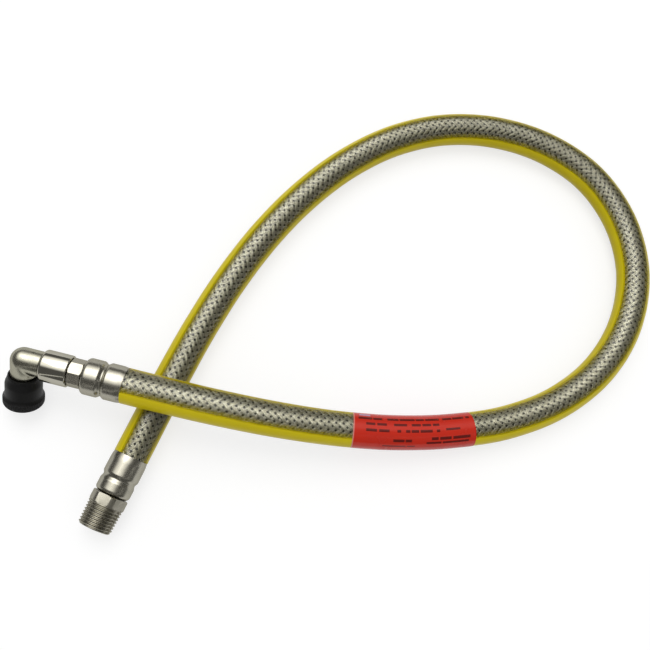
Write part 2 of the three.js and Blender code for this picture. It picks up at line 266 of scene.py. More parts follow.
# %% Make the liner
LINER_RADIUS = 7.62 * MM
LINER_BORE = 6.2 * MM
LINER_TUCK = 2 * MM
LINER_STEP = 4 * MM
LINER_SIDES = 48
liner = pipe_of_hose(
    "rubber_liner", HOSE_START - LINER_TUCK, HOSE_END + LINER_TUCK, LINER_STEP,
    LINER_RADIUS, LINER_BORE, LINER_SIDES,
)
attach(liner, "hose")
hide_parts("hose_liner")
print("liner", len(liner.data.polygons), "faces")

# %% [markdown]
# The yellow stripes
# Two yellow bands run inside the clear wall, one on each side of the hose. Paint on the surface
# would look flat, so each band is a real strip. It fills the outer part of the wall and stands a
# hair proud of it. Its edges fade, which the material does later from the strip's UV map.

# %% Make the stripes
STRIPE_TOP = 10.79 * MM
STRIPE_BOTTOM = 8.98 * MM
STRIPE_CENTRE = math.radians(10)
STRIPE_TWIST = math.radians(7)
TWIST_MIDDLE = 460 * MM
TWIST_REACH = 380 * MM
STRIPE_HALF = math.radians(62)
STRIPE_STEPS = 44


def stripe(name, start):
    """A strip of the sheath's wall, as wide as the stripe, that twists a little along the hose."""
    outside = np.linspace(-STRIPE_HALF, STRIPE_HALF, STRIPE_STEPS)
    offsets = np.concatenate([outside, outside[::-1]])
    radii = np.repeat([STRIPE_TOP, STRIPE_BOTTOM], STRIPE_STEPS)
    stations = stations_between(HOSE_START, HOSE_END, SHEATH_STEP)
    centre = start + STRIPE_CENTRE + STRIPE_TWIST * ((stations - TWIST_MIDDLE) / TWIST_REACH) ** 2
    s, across = np.meshgrid(stations, offsets / STRIPE_HALF, indexing="ij")
    piece = grid_piece(name, wrap(s, centre[:, None] + offsets, radii), uv=np.stack([across, s], -1))
    point_outwards(piece)
    smooth_by_angle(piece)
    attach(piece, "hose")
    return piece


outer_stripe = stripe("outer_yellow_stripe", 0)
inner_stripe = stripe("inner_yellow_stripe", math.pi)
print("stripes", len(outer_stripe.data.polygons), "faces each")

# %% [markdown]
# The wire braid
# Twelve plaits wind to the right and twelve to the left, and each passes over two and under two
# of the others. A plait is a flat ribbon of four wires side by side. An image of a braid would
# stay flat in side light, so the ribbons are modelled: a ridge for each wire, lifted where the
# plait is on top and lowered where it dives.

# %% Weave the plaits
PLAITS = 12
LEAD = 56 * MM
BRAID_RADIUS = 8.36 * MM
BRAID_LIFT = 0.26 * MM
LIFT_SHARPNESS = 1.6
WIRES = 4
WIRE_SPACING = 0.5 * MM
WIRE_RIDGE = 0.18 * MM
CROWN = 0.12 * MM
WIRE_WANDER = 0.06 * MM
WEAVE_STEP = 1.3 * MM
BRAID_TUCK = 1.2 * MM
COLUMNS = 6
WANDER_WAVES = (31 * MM, 17 * MM, 7 * MM)
WANDER_SEED = 21
wander_source = np.random.default_rng(WANDER_SEED)


def wander(stations, size):
    """A slow seeded drift along the hose, made of three waves."""
    total = np.zeros_like(stations)
    for wave in WANDER_WAVES:
        total += np.sin(2 * math.pi * stations / wave + wander_source.uniform(0, 2 * math.pi))
    return total * size / len(WANDER_WAVES)


def plait(hand, number, stations):
    """The ring section of one plait at every station, and its UV map."""
    slope = 2 * math.pi * BRAID_RADIUS / LEAD
    lean = math.atan(slope)
    points_across = 2 * WIRES + 1
    half = (points_across - 1) / 2
    rings, maps = [], []
    for column in range(points_across):
        on_wire = column % 2 == 1
        offset = (column - half) * WIRE_SPACING / 2
        drift = wander(stations, WIRE_WANDER)
        across = offset + (drift if on_wire else 0)
        s = stations - hand * across * math.sin(lean)
        angle = hand * 2 * math.pi * stations / LEAD + 2 * math.pi * number / PLAITS
        angle = angle + across * math.cos(lean) / BRAID_RADIUS
        weave = np.tanh(LIFT_SHARPNESS * np.cos(COLUMNS * angle)) / math.tanh(LIFT_SHARPNESS)
        crown = CROWN * (1 - (offset / (half * WIRE_SPACING / 2)) ** 2)
        ridge = WIRE_RIDGE if on_wire else -WIRE_RIDGE
        height = wander(stations, WIRE_WANDER) if on_wire else 0
        radius = BRAID_RADIUS + hand * BRAID_LIFT * weave + crown + ridge + height
        rings.append(wrap(np.clip(s, 0, STATION[-1]), angle, radius))
        maps.append(np.stack([np.full_like(s, column / (points_across - 1) + number), s], -1))
    return np.stack(rings, 1), np.stack(maps, 1)


def braid(name, hand):
    """All plaits that wind the same way, as one piece."""
    stations = stations_between(HOSE_START - BRAID_TUCK, HOSE_END + BRAID_TUCK, WEAVE_STEP)
    plaits = []
    for number in range(PLAITS):
        points, uv = plait(hand, number, stations)
        plaits.append(grid_piece(f"{name}_{number}", points, uv=uv))
    bpy.ops.object.select_all(action="DESELECT")
    for piece in plaits:
        piece.select_set(True)
    bpy.context.view_layer.objects.active = plaits[0]
    bpy.ops.object.join()
    whole = bpy.context.view_layer.objects.active
    whole.name = name
    point_outwards(whole)
    bpy.ops.object.shade_smooth()
    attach(whole, "hose")
    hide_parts("wire_braid")
    whole.data.calc_loop_triangles()
    print(name, len(whole.data.loop_triangles), "triangles")
    return whole


right_braid = braid("right_hand_plaits", 1)
left_braid = braid("left_hand_plaits", -1)

# %% [markdown]
# The label
# A red film is wrapped round the hose. It is a pipe of film that is slightly proud of the
# sheath, and the plaits press through it a little. Its bars are drawn later by its material.

# %% Wrap the label
LABEL_START = 161.4 * MM
LABEL_LENGTH = 78.3 * MM
LABEL_OUTSIDE = 10.91 * MM
LABEL_INSIDE = 10.8 * MM
LABEL_LEAN = 1.9 * MM
LABEL_RELIEF = 0.035 * MM
LABEL_STEP = 0.8 * MM
LABEL_SIDES = 128


def film_piece(name):
    """A pipe of thin film, with one cut leaning back and the plaits pressed through it."""
    count = int(LABEL_LENGTH / LABEL_STEP) + 1
    turn = np.linspace(0, 2 * math.pi, LABEL_SIDES, endpoint=False)
    share, a = np.meshgrid(np.linspace(0, 1, count), turn, indexing="ij")
    s = LABEL_START + LABEL_LENGTH * share - LABEL_LEAN * np.sin(a) * (1 - share)
    twist = 2 * math.pi * s / LEAD
    relief = np.cos(PLAITS * (a - twist)) * np.cos(PLAITS * (a + twist)) * LABEL_RELIEF
    return wall_piece(name, wrap(s, a, LABEL_OUTSIDE + relief), wrap(s, a, LABEL_INSIDE), a, share)


label = film_piece("label_film")
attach(label, "hose")
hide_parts("red_label")
print("label", len(label.data.polygons), "faces")

# %% [markdown]
# Where the fittings stand
# Each end fitting is turned on a lathe, so it is easiest to shape it upright at the origin and
# then move its mesh into place. The two frames below point out of the hose at each ferrule's
# mouth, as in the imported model.

# %% Place the end frames
UPRIGHT = Vector((0, 0, 1))


def turned_to(direction):
    """The turn that takes the upright axis to a direction."""
    return UPRIGHT.rotation_difference(direction).to_matrix().to_4x4()


def end_frame(tip, outward):
    """The place of a ferrule's mouth, with the upright axis turned out of the hose."""
    return Matrix.Translation(Vector(tip) - outward * FERRULE_DEPTH) @ turned_to(outward)


ELBOW_OUTWARD = (Vector(ROUTE[0]) - Vector(ROUTE[1])).normalized()
THREAD_OUTWARD = (Vector(ROUTE[-1]) - Vector(ROUTE[-2])).normalized()
ELBOW_FRAME = end_frame(ROUTE[0], ELBOW_OUTWARD)
THREAD_FRAME = end_frame(ROUTE[-1], THREAD_OUTWARD)
print("elbow end", ELBOW_FRAME.translation, "thread end", THREAD_FRAME.translation)

# %% [markdown]
# Turned pieces
# A lathe cuts a round piece from an outline. In Blender the outline is a ring of points that is
# spun round an axis. The helpers take the outline as radius and height pairs in millimetres,
# spin it, round its edges with a small bevel, and move the mesh to its end frame.

# %% Spin an outline
TURN_STEPS = 96
FINE_EDGE = 0.1
EDGE_ANGLE = 30
EDGE_SEGMENTS = 2
TURNED_SMOOTH = 30


def spun(name, outline, steps=TURN_STEPS):
    """A ring of points in the outline's shape, spun once round the upright axis."""
    bpy.ops.object.select_all(action="DESELECT")
    bpy.ops.mesh.primitive_circle_add(vertices=len(outline), radius=1)
    piece = bpy.context.object
    piece.name = name
    piece.data.name = name
    for vertex, (radius, height) in zip(piece.data.vertices, outline):
        vertex.co = (radius * MM, 0, height * MM)
    bpy.ops.object.mode_set(mode="EDIT")
    bpy.ops.mesh.select_all(action="SELECT")
    bpy.ops.mesh.spin(steps=steps, angle=2 * math.pi, center=(0, 0, 0), axis=(0, 0, 1))
    bpy.ops.mesh.select_all(action="SELECT")
    bpy.ops.mesh.remove_doubles(threshold=MERGE_DISTANCE)
    bpy.ops.mesh.delete_loose()
    bpy.ops.mesh.select_all(action="SELECT")
    bpy.ops.mesh.normals_make_consistent(inside=False)
    bpy.ops.object.mode_set(mode="OBJECT")
    return piece


def round_edges(piece, width=FINE_EDGE, angle=EDGE_ANGLE):
    """Small round edges, made by a bevel that is applied."""
    select_only(piece)
    bevel = piece.modifiers.new("edge", "BEVEL")
    bevel.width = width * MM
    bevel.segments = EDGE_SEGMENTS
    bevel.limit_method = "ANGLE"
    bevel.angle_limit = math.radians(angle)
    bpy.ops.object.modifier_apply(modifier=bevel.name)


def settle(piece, place, body, nodes, smooth=TURNED_SMOOTH):
    """Marks each point's height on the lathe, moves the mesh into place and ties it to its body."""
    heights = np.zeros(len(piece.data.vertices) * 3, np.float32)
    piece.data.vertices.foreach_get("co", heights)
    mark = piece.data.attributes.new("lathe_height", "FLOAT", "POINT")
    mark.data.foreach_set("value", heights[2::3] / MM)
    piece.data.transform(place)
    piece.data.update()
    smooth_by_angle(piece, smooth)
    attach(piece, body)
    if nodes:
        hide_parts(*nodes)
    print(piece.name, len(piece.data.polygons), "faces")
    return piece


# %% [markdown]
# The ferrules
# A ferrule is a thin steel cup that is crimped over the hose's end. The crimp leaves two round
# bulges with a groove between them. The outline is made of short steps, so that the curves of
# the bulges stay smooth in a reflection.

# %% Crimp the ferrules
FERRULE_LENGTH = 24.6
FERRULE_BORE = 9.0
MOUTH_RADIUS = 10.55
BULGE_RADIUS = 11.05
GROOVE_REACH = 2.6
SHOULDER = 2.6
NECK_BORE = 6.29
END_WALL = 1.5
OUTLINE_STEP = 0.3
MOUTH_CHAMFER = 0.12
CRIMP_TURNS = [math.radians(8 * k) for k in range(1, 10)]
ELBOW_GROOVE = 12.6
ELBOW_GROOVE_RADIUS = 9.7
THREAD_GROOVE = 15.0
THREAD_GROOVE_RADIUS = 10.1
THREAD_BULGE_RADIUS = 10.8


def ease(share):
    """A share that starts and ends softly."""
    share = min(max(share, 0), 1)
    return share * share * (3 - 2 * share)


def round_shoulder(radius, height, fillet, turns):
    """Outline points of a round shoulder, from its side towards its end."""
    return [
        (radius - fillet + fillet * math.cos(turn), height - fillet + fillet * math.sin(turn))
        for turn in turns
    ]


def ferrule_outline(groove, groove_radius, end_bulge):
    """The cup's outside from mouth to end, then its inside back to the mouth."""
    outline = [(MOUTH_RADIUS - MOUTH_CHAMFER, 0)]
    straight = FERRULE_LENGTH - SHOULDER
    count = int(straight / OUTLINE_STEP)
    for k in range(count + 1):
        height = MOUTH_CHAMFER + (straight - MOUTH_CHAMFER) * k / count
        swell = math.sin(min(height / (groove / 3), 1) * math.pi / 2)
        bulge = end_bulge if height > groove else MOUTH_RADIUS + (BULGE_RADIUS - MOUTH_RADIUS) * swell
        dip = ease(abs(height - groove) / GROOVE_REACH)
        outline.append((groove_radius + (bulge - groove_radius) * dip, height))
    return outline + round_shoulder(end_bulge, FERRULE_LENGTH, SHOULDER, CRIMP_TURNS) + [
        (end_bulge - SHOULDER, FERRULE_LENGTH),
        (NECK_BORE, FERRULE_LENGTH),
        (NECK_BORE, FERRULE_LENGTH - END_WALL),
        (FERRULE_BORE, FERRULE_LENGTH - END_WALL),
        (FERRULE_BORE, 0),
    ]


elbow_outline = ferrule_outline(ELBOW_GROOVE, ELBOW_GROOVE_RADIUS, BULGE_RADIUS)
elbow_ferrule = spun("elbow_ferrule", elbow_outline)
settle(elbow_ferrule, ELBOW_FRAME, "hose", ["elbow_end_ferrule"])
thread_outline = ferrule_outline(THREAD_GROOVE, THREAD_GROOVE_RADIUS, THREAD_BULGE_RADIUS)
thread_ferrule = spun("thread_ferrule", thread_outline)
settle(thread_ferrule, THREAD_FRAME, "hose", ["thread_end_ferrule"])

# %% [markdown]
# Spanner flats
# The hexagon and the octagon start as round bars with chamfered ends. A flat is cut with the
# bisect tool, which leaves the curved chamfer marks that real spanner flats have.

# %% Cut the flats
FLAT_STEPS = 144
HEX_LOW = 24.9
HEX_LENGTH = 6.1
HEX_RADIUS = 11
HEX_BORE = 5.5
HEX_ACROSS = 20.5
HEX_ROLL = 44.5
OCTAGON_LOW = 24.9
OCTAGON_LENGTH = 7.8
OCTAGON_RADIUS = 8.75
OCTAGON_BORE = 4.2
OCTAGON_ACROSS = 16.2
OCTAGON_ROLL = 20
BAR_CHAMFER = 0.5
FLAT_EDGE = 0.12
FLAT_EDGE_ANGLE = 14
FLAT_SMOOTH = 12


def spanner_bar(name, radius, bore, low, length, flats, across_flats, roll):
    """A chamfered round bar with a bore, cut flat on its sides."""
    high = low + length
    bar = spun(name, [
        (bore, low),
        (radius - BAR_CHAMFER, low),
        (radius, low + BAR_CHAMFER),
        (radius, high - BAR_CHAMFER),
        (radius - BAR_CHAMFER, high),
        (bore, high),
    ], FLAT_STEPS)
    bpy.ops.object.mode_set(mode="EDIT")
    for k in range(flats):
        turn = math.radians(roll) + 2 * math.pi * (k + 0.5) / flats
        outwards = Vector((math.cos(turn), math.sin(turn), 0))
        bpy.ops.mesh.select_all(action="SELECT")
        middle = outwards * across_flats / 2 * MM
        bpy.ops.mesh.bisect(plane_co=middle, plane_no=outwards, use_fill=True, clear_outer=True)
    bpy.ops.object.mode_set(mode="OBJECT")
    round_edges(bar, FLAT_EDGE, FLAT_EDGE_ANGLE)
    return bar


hexagon = spanner_bar(
    "tail_hexagon", HEX_RADIUS, HEX_BORE, HEX_LOW, HEX_LENGTH,
    flats=6, across_flats=HEX_ACROSS, roll=HEX_ROLL,
)
settle(hexagon, THREAD_FRAME, "hose", ["threaded_tail"], FLAT_SMOOTH)
octagon = spanner_bar(
    "tail_octagon", OCTAGON_RADIUS, OCTAGON_BORE, OCTAGON_LOW, OCTAGON_LENGTH,
    flats=8, across_flats=OCTAGON_ACROSS, roll=OCTAGON_ROLL,
)
settle(octagon, ELBOW_FRAME, "hose", ["swivel_tail"], FLAT_SMOOTH)

# %% [markdown]
# The taper thread
# A half inch taper pipe thread winds round the tail eight times. Stacked rings would not be a
# thread, so the mesh is a grid whose rows climb by one pitch in each turn. Its tops follow the
# taper, and they are cut off by the chamfer at the end.

# %% Wind the thread
THREAD_LOW = HEX_LOW + HEX_LENGTH
THREAD_LENGTH = 14.6
THREAD_HIGH = THREAD_LOW + THREAD_LENGTH
THREAD_PITCH = 1.814
THREAD_DEPTH = 1.0
GAUGE_RADIUS = 10.4775
GAUGE_PLACE = 8.2
THREAD_TAPER = 1 / 32
END_CHAMFER = 1.25
END_RADIUS = GAUGE_RADIUS - END_CHAMFER
THREAD_BORE = 6.0
BORE_CHAMFER = 0.5
TUCK_WIDTH = 1.5
THREAD_ROWS = 12
THREAD_SIDES = 96
FADE_PITCHES = 1.2
FADED_SHARE = 0.45
ROOT_SHARE = 0.12
FLANK_SHARE = 0.74
THREAD_SMOOTH = 50


def thread_radius(height, turn):
    """The thread's surface: a rounded tooth, faded next to the hexagon and cut by the end chamfer."""
    crest = GAUGE_RADIUS + (THREAD_HIGH - height - GAUGE_PLACE) * THREAD_TAPER
    phase = (height - THREAD_LOW) / THREAD_PITCH - turn / (2 * math.pi)
    tooth = np.abs(2 * (phase - np.floor(phase)) - 1)
    rounded = np.clip((tooth - ROOT_SHARE) / FLANK_SHARE, 0, 1)
    fade = np.clip((height - THREAD_LOW) / (FADE_PITCHES * THREAD_PITCH), 0, 1)
    depth = THREAD_DEPTH * (FADED_SHARE + (1 - FADED_SHARE) * fade)
    return np.minimum(crest - depth * (1 - rounded), END_RADIUS + (THREAD_HIGH - height))


def thread_piece(name):
    """The climbing rows of the thread, closed by level rings down the bore and back."""
    turns = np.linspace(0, 2 * math.pi, THREAD_SIDES, endpoint=False)
    levels = []
    for row in range(-THREAD_ROWS, int(THREAD_LENGTH / THREAD_PITCH * THREAD_ROWS) + THREAD_ROWS):
        heights = THREAD_LOW + THREAD_PITCH * (row / THREAD_ROWS + turns / (2 * math.pi))
        heights = np.clip(heights, THREAD_LOW, THREAD_HIGH)
        levels.append((thread_radius(heights, turns), heights))
    for radius, height in (
        (THREAD_BORE + BORE_CHAMFER, THREAD_HIGH),
        (THREAD_BORE, THREAD_HIGH - BORE_CHAMFER),
        (THREAD_BORE, THREAD_LOW - HEX_LENGTH / 2),
        (THREAD_BORE + TUCK_WIDTH, THREAD_LOW - HEX_LENGTH / 2),
        (THREAD_BORE + TUCK_WIDTH, THREAD_LOW),
    ):
        levels.append((radius, np.full(THREAD_SIDES, height)))
    rings = [np.stack([r * np.cos(turns), r * np.sin(turns), h], -1) for r, h in levels + levels[:1]]
    piece = grid_piece(name, np.array(rings) * MM, closed_ends=False)
    point_outwards(piece, merge=True)
    return piece


thread = thread_piece("taper_thread")
settle(thread, THREAD_FRAME, "hose", ["threaded_tail"], THREAD_SMOOTH)

# %% [markdown]
# The tails inside the hose
# Each tail has a barbed pipe that grips the liner inside the ferrule. It is hidden, but the
# real part has it, so both are turned in full. The swivel tail goes on through the octagon to a
# flange and to a nose with two grooves for its seal rings.

# %% Turn the tails
BARB_RADIUS = 5.68
BARB_DEPTH = 0.6
BARB_BORE = 4.19
BARB_LOW = 0.3
BARB_TOP = 22.8
BARB_CREST = 0.75
BARB_FALL = 0.9
BARBS = 4
NECK_RADIUS = 5.98
SPIGOT_NECK = 5.9
SPIGOT_BORE = 3.0
FLANGE_RADIUS = 7.2
FLANGE_LOW = 39.9
FLANGE_HIGH = 41.9
NOSE_RADIUS = 5.3
NOSE_HIGH = 49.5
SEAL_GROOVE_RADIUS = 4.0
SEAL_PLACES = (44.3, 47.1)
SEAL_GROOVE_HALF = 0.9
NECK_STEP = 1.5
BORE_STEP = 0.5


def barbs():
    pitch = (BARB_TOP - BARB_LOW) / BARBS
    outline = [(BARB_BORE, BARB_LOW)]
    for k in range(BARBS):
        outline.append((BARB_RADIUS - BARB_DEPTH, BARB_LOW + pitch * k))
        outline.append((BARB_RADIUS, BARB_LOW + pitch * (k + BARB_CREST)))
        outline.append((BARB_RADIUS, BARB_LOW + pitch * (k + BARB_FALL)))
    return outline + [(NECK_RADIUS, BARB_TOP + BARB_LOW), (NECK_RADIUS, HEX_LOW)]


thread_barb = spun("thread_tail_barb", barbs() + [(BARB_BORE, HEX_LOW)])
round_edges(thread_barb)
settle(thread_barb, THREAD_FRAME, "hose", ["threaded_tail"])

grooves = []
for place in SEAL_PLACES:
    low, high = place - SEAL_GROOVE_HALF, place + SEAL_GROOVE_HALF
    grooves += [(NOSE_RADIUS, low), (SEAL_GROOVE_RADIUS, low)]
    grooves += [(SEAL_GROOVE_RADIUS, high), (NOSE_RADIUS, high)]
spigot = spun("swivel_spigot", barbs() + [
    (SPIGOT_NECK - NECK_STEP, HEX_LOW),
    (SPIGOT_NECK - NECK_STEP, OCTAGON_LOW + OCTAGON_LENGTH),
    (SPIGOT_NECK, OCTAGON_LOW + OCTAGON_LENGTH),
    (SPIGOT_NECK, FLANGE_LOW),
    (FLANGE_RADIUS, FLANGE_LOW),
    (FLANGE_RADIUS, FLANGE_HIGH),
    (NOSE_RADIUS, FLANGE_HIGH),
] + grooves + [
    (NOSE_RADIUS, NOSE_HIGH),
    (SPIGOT_BORE, NOSE_HIGH),
    (SPIGOT_BORE, OCTAGON_LOW),
    (BARB_BORE, OCTAGON_LOW - BORE_STEP),
])
round_edges(spigot)
settle(spigot, ELBOW_FRAME, "hose", ["swivel_tail"])

# %% [markdown]
# The seal rings and the washer
# Two rubber rings seal the swivel, and a plastic washer lets the collar turn on the flange.
# They are small and inside, and a ring swept from a circle is all they are.

# %% Add the seals and the washer
SEAL_CENTRE_RADIUS = 4.8
SEAL_SECTION = 0.6
SECTION_SIDES = 16
SEAL_SMOOTH = 60
WASHER_LOW = 38.8
WASHER_HIGH = 39.6
WASHER_BORE = 6.2

for name, node, place in (
    ("seal_ring_near", "inner_seal_ring", SEAL_PLACES[0]),
    ("seal_ring_far", "outer_seal_ring", SEAL_PLACES[1]),
):
    section = []
    for k in range(SECTION_SIDES):
        turn = 2 * math.pi * k / SECTION_SIDES
        across, up = SEAL_SECTION * math.cos(turn), SEAL_SECTION * math.sin(turn)
        section.append((SEAL_CENTRE_RADIUS + across, place + up))
    settle(spun(name, section), ELBOW_FRAME, "hose", [node], SEAL_SMOOTH)
washer = spun("swivel_washer", [
    (WASHER_BORE, WASHER_LOW),
    (FLANGE_RADIUS, WASHER_LOW),
    (FLANGE_RADIUS, WASHER_HIGH),
    (WASHER_BORE, WASHER_HIGH),
])
round_edges(washer)
settle(washer, ELBOW_FRAME, "elbow", ["thrust_washer"])

# %% [markdown]
# The collar
# A polished collar screws onto the elbow and turns with it. It is a plain cylinder with a
# rounded shoulder, and it shows every lamp, so its outline is smooth at the shoulder.

# %% Turn the collar
COLLAR_LOW = 33.0
COLLAR_HIGH = 49.6
COLLAR_RADIUS = 9.6
COLLAR_BORE = 7.5
COLLAR_LIP_HIGH = 38.5
COLLAR_SHOULDER = 1.9
COLLAR_CHAMFER = 0.5
COLLAR_EDGE = 0.15
SHOULDER_STEPS = 8
QUARTER_TURN = [math.pi / 2 * k / SHOULDER_STEPS for k in range(SHOULDER_STEPS + 1)]

collar = spun("polished_collar", [
    (WASHER_BORE, COLLAR_LOW),
    (COLLAR_RADIUS - COLLAR_CHAMFER, COLLAR_LOW),
    (COLLAR_RADIUS, COLLAR_LOW + COLLAR_CHAMFER),
] + round_shoulder(COLLAR_RADIUS, COLLAR_HIGH, COLLAR_SHOULDER, QUARTER_TURN) + [
    (COLLAR_BORE, COLLAR_HIGH),
    (COLLAR_BORE, COLLAR_LIP_HIGH),
    (WASHER_BORE, COLLAR_LIP_HIGH),
], FLAT_STEPS)
round_edges(collar, COLLAR_EDGE)
settle(collar, ELBOW_FRAME, "elbow", ["swivel_collar"])

# %% [markdown]
# The elbow
# The elbow is one piece of nickel plated brass. Two arms meet in a corner that is round like a
# ball outside and has a small fillet inside. A union of two cylinders leaves a hard crease, so
# the skin is swept instead: every line along it goes straight, round its own small arc, and
# straight again. The same sweep with a smaller radius makes the bore.

# %% Sweep the elbow
CORNER_PLACE = 61.1
ARM_RADIUS = 7.65
ARM_START = 49.9
SOCKET_RADIUS = 7.2
SOCKET_LOW = 42.2
SOCKET_HIGH = 49.8
SOCKET_BORE = 5.6
ELBOW_BORE = 4.0
PLUG_AXIS = Vector((-0.14853192, -0.66574707, -0.7312449))
PLUG_ARM = 13.0
BARREL_RADIUS = 6.8
BARREL_END = 24.0
PLUG_NOSE_RADIUS = 6.0
PLUG_END = 29.5
INNER_FILLET = 1.5
FILLET_BLEND = 1.0
CORNER_STEPS = 14
ELBOW_SIDES = 96
ELBOW_SMOOTH = 32
EDGE_NEAR = 0.1
EDGE_FAR = 0.3
STEP_SLOPE = 0.5
PLUG_TIP = ((0.6, 0.0), (0.2, 0.15), (0.0, 0.5))

CORNER = ELBOW_FRAME @ (UPRIGHT * CORNER_PLACE * MM)
PLUG_LOCAL = (ELBOW_FRAME.to_3x3().inverted() @ PLUG_AXIS).normalized()
PLUG_FRAME = ELBOW_FRAME @ Matrix.Translation(UPRIGHT * CORNER_PLACE * MM) @ turned_to(PLUG_LOCAL)


def arm_ring(place, radius):
    """A ring on the collar's arm, at a height on the lathe."""
    return ("arm", place - CORNER_PLACE, radius)


def plug_ring(place, radius):
    """A ring on the plug's arm, at a distance from the corner."""
    return ("plug", place, radius)


def elbow_points(steps):
    """The rings of both arms and of the bend between them."""
    turns = np.linspace(0, 2 * math.pi, ELBOW_SIDES, endpoint=False)
    arm_axis = np.array(ELBOW_OUTWARD)
    plug_axis = np.array(PLUG_AXIS.normalized())
    across = np.cross(arm_axis, plug_axis)
    rings = []
    for kind, place, radius in steps:
        inward = radius * np.cos(turns)
        level = (radius * np.sin(turns))[:, None] * across
        blend = np.log1p(np.exp((-inward - INNER_FILLET) / FILLET_BLEND)) * FILLET_BLEND
        curve = INNER_FILLET + blend
        if kind == "arm":
            a, b = np.minimum(place, -inward - curve), inward
        elif kind == "plug":
            a, b = -inward, np.maximum(place, inward + curve)
        else:
            turn = place * math.pi / 2
            a = -inward - curve + curve * math.sin(turn)
            b = inward + curve - curve * math.cos(turn)
        rings.append(a[:, None] * arm_axis + b[:, None] * plug_axis + level)
    return np.array(rings) * MM + np.array(CORNER)


outside = [
    arm_ring(SOCKET_LOW, SOCKET_RADIUS),
    arm_ring(ARM_START, SOCKET_RADIUS),
    arm_ring(ARM_START, ARM_RADIUS - EDGE_FAR),
    arm_ring(ARM_START + EDGE_NEAR, ARM_RADIUS - EDGE_NEAR),
    arm_ring(ARM_START + EDGE_FAR, ARM_RADIUS),
]
bend_places = [k / CORNER_STEPS for k in range(CORNER_STEPS + 1)]
bend = [("bend", place, ARM_RADIUS) for place in bend_places]
plug_outside = [
    plug_ring(PLUG_ARM - EDGE_FAR, ARM_RADIUS),
    plug_ring(PLUG_ARM - EDGE_NEAR, ARM_RADIUS - EDGE_NEAR),
    plug_ring(PLUG_ARM + STEP_SLOPE, BARREL_RADIUS),
    plug_ring(BARREL_END, BARREL_RADIUS),
    plug_ring(BARREL_END + STEP_SLOPE, PLUG_NOSE_RADIUS),
]
plug_outside += [plug_ring(PLUG_END - back, PLUG_NOSE_RADIUS - drop) for back, drop in PLUG_TIP]
bore = [plug_ring(PLUG_END, ELBOW_BORE + EDGE_FAR), plug_ring(PLUG_END - EDGE_FAR, ELBOW_BORE)]
bore += [("bend", place, ELBOW_BORE) for place in reversed(bend_places)]
bore += [
    arm_ring(SOCKET_HIGH, ELBOW_BORE),
    arm_ring(SOCKET_HIGH, SOCKET_BORE),
    arm_ring(SOCKET_LOW, SOCKET_BORE),
]
rings = outside + bend + plug_outside + bore
elbow = grid_piece("elbow_body", elbow_points(rings + rings[:1]), closed_ends=False)
point_outwards(elbow, merge=True)
IDENTITY = Matrix.Identity(4)
settle(elbow, IDENTITY, "elbow", ["bayonet_elbow"], ELBOW_SMOOTH)

# %% [markdown]
# The bayonet pins
# Two small pins on the plug lock it in its socket. Under the cap they don't show, but they do
# once it is pulled off. They could be pulled out of the elbow's skin, but a short rod with a
# domed end is easier to turn, once for each side.

# %% Add the pins
PIN_RADIUS = 1.4
PIN_REACH = 7.8
PIN_ROOT = 6.2
PIN_PLACE = 19.0
PIN_STEPS = 24
PIN_DOME = ((0.0, 0.45), (0.15, 0.15), (0.5, 0.0))
PIN_SMOOTH = 40

for side, name in ((1, "bayonet_pin_one"), (-1, "bayonet_pin_two")):
    dome = [(PIN_RADIUS - drop, PIN_REACH - back) for drop, back in PIN_DOME]
    pin = spun(name, [(0, PIN_ROOT), (PIN_RADIUS, PIN_ROOT)] + dome + [(0, PIN_REACH)], PIN_STEPS)
    sideways = Matrix.Rotation(-side * math.pi / 2, 4, "X")
    place = PLUG_FRAME @ Matrix.Translation((0, 0, PIN_PLACE * MM)) @ sideways
    settle(pin, place, "elbow", ["bayonet_elbow"], PIN_SMOOTH)

# %% [markdown]
# The cap
# A black plastic cap keeps dirt off the plug. It is a cup with a wider band round its closed
# end, and fine ribs on the band give grip. The ribs are real: of every four columns of points
# on the band, two are pressed in a little.

# %% Mould the cap
CAP_MOUTH = 10.6
CAP_BORE = 8.1
CAP_MOUTH_RADIUS = 9.1
CAP_BODY_RADIUS = 10.7
CAP_SHOULDER_END = 17.1
CAP_BAND_LOW = 25.5
CAP_BAND_RADIUS = 12.0
CAP_END = 31.7
CAP_FLOOR = 29.8
CAP_FILLET = 1.6
CAP_SIDES = 240
RIB_DEPTH = 0.26
RIB_COLUMNS = 4
RIB_FADE = 1.5
RIB_END = 0.6
MOUTH_ROUND = 0.2
MOUTH_RISE = 0.25
FLARE_BACK = 1.6
FLARE_LENGTH = 2.8
FLARE_POWER = 2.2
CAP_STEPS = 8
CAP_SMOOTH = 35

cap_outline = [(CAP_BORE, CAP_MOUTH), (CAP_MOUTH_RADIUS - MOUTH_ROUND, CAP_MOUTH)]
for k in range(CAP_STEPS + 1):
    share = k / CAP_STEPS
    cap_outline.append((
        CAP_MOUTH_RADIUS + (CAP_BODY_RADIUS - CAP_MOUTH_RADIUS) * ease(share),
        CAP_MOUTH + MOUTH_RISE + (CAP_SHOULDER_END - CAP_MOUTH - MOUTH_RISE) * share,
    ))
for k in range(CAP_STEPS + 1):
    share = k / CAP_STEPS
    cap_outline.append((
        CAP_BODY_RADIUS + (CAP_BAND_RADIUS - CAP_BODY_RADIUS) * share ** FLARE_POWER,
        CAP_BAND_LOW - FLARE_BACK + FLARE_LENGTH * share,
    ))
cap_outline += round_shoulder(CAP_BAND_RADIUS, CAP_END, CAP_FILLET, QUARTER_TURN)
cap_outline += [(0, CAP_END), (0, CAP_FLOOR), (CAP_BORE, CAP_FLOOR)]
cap = spun("dust_cap", cap_outline, CAP_SIDES)
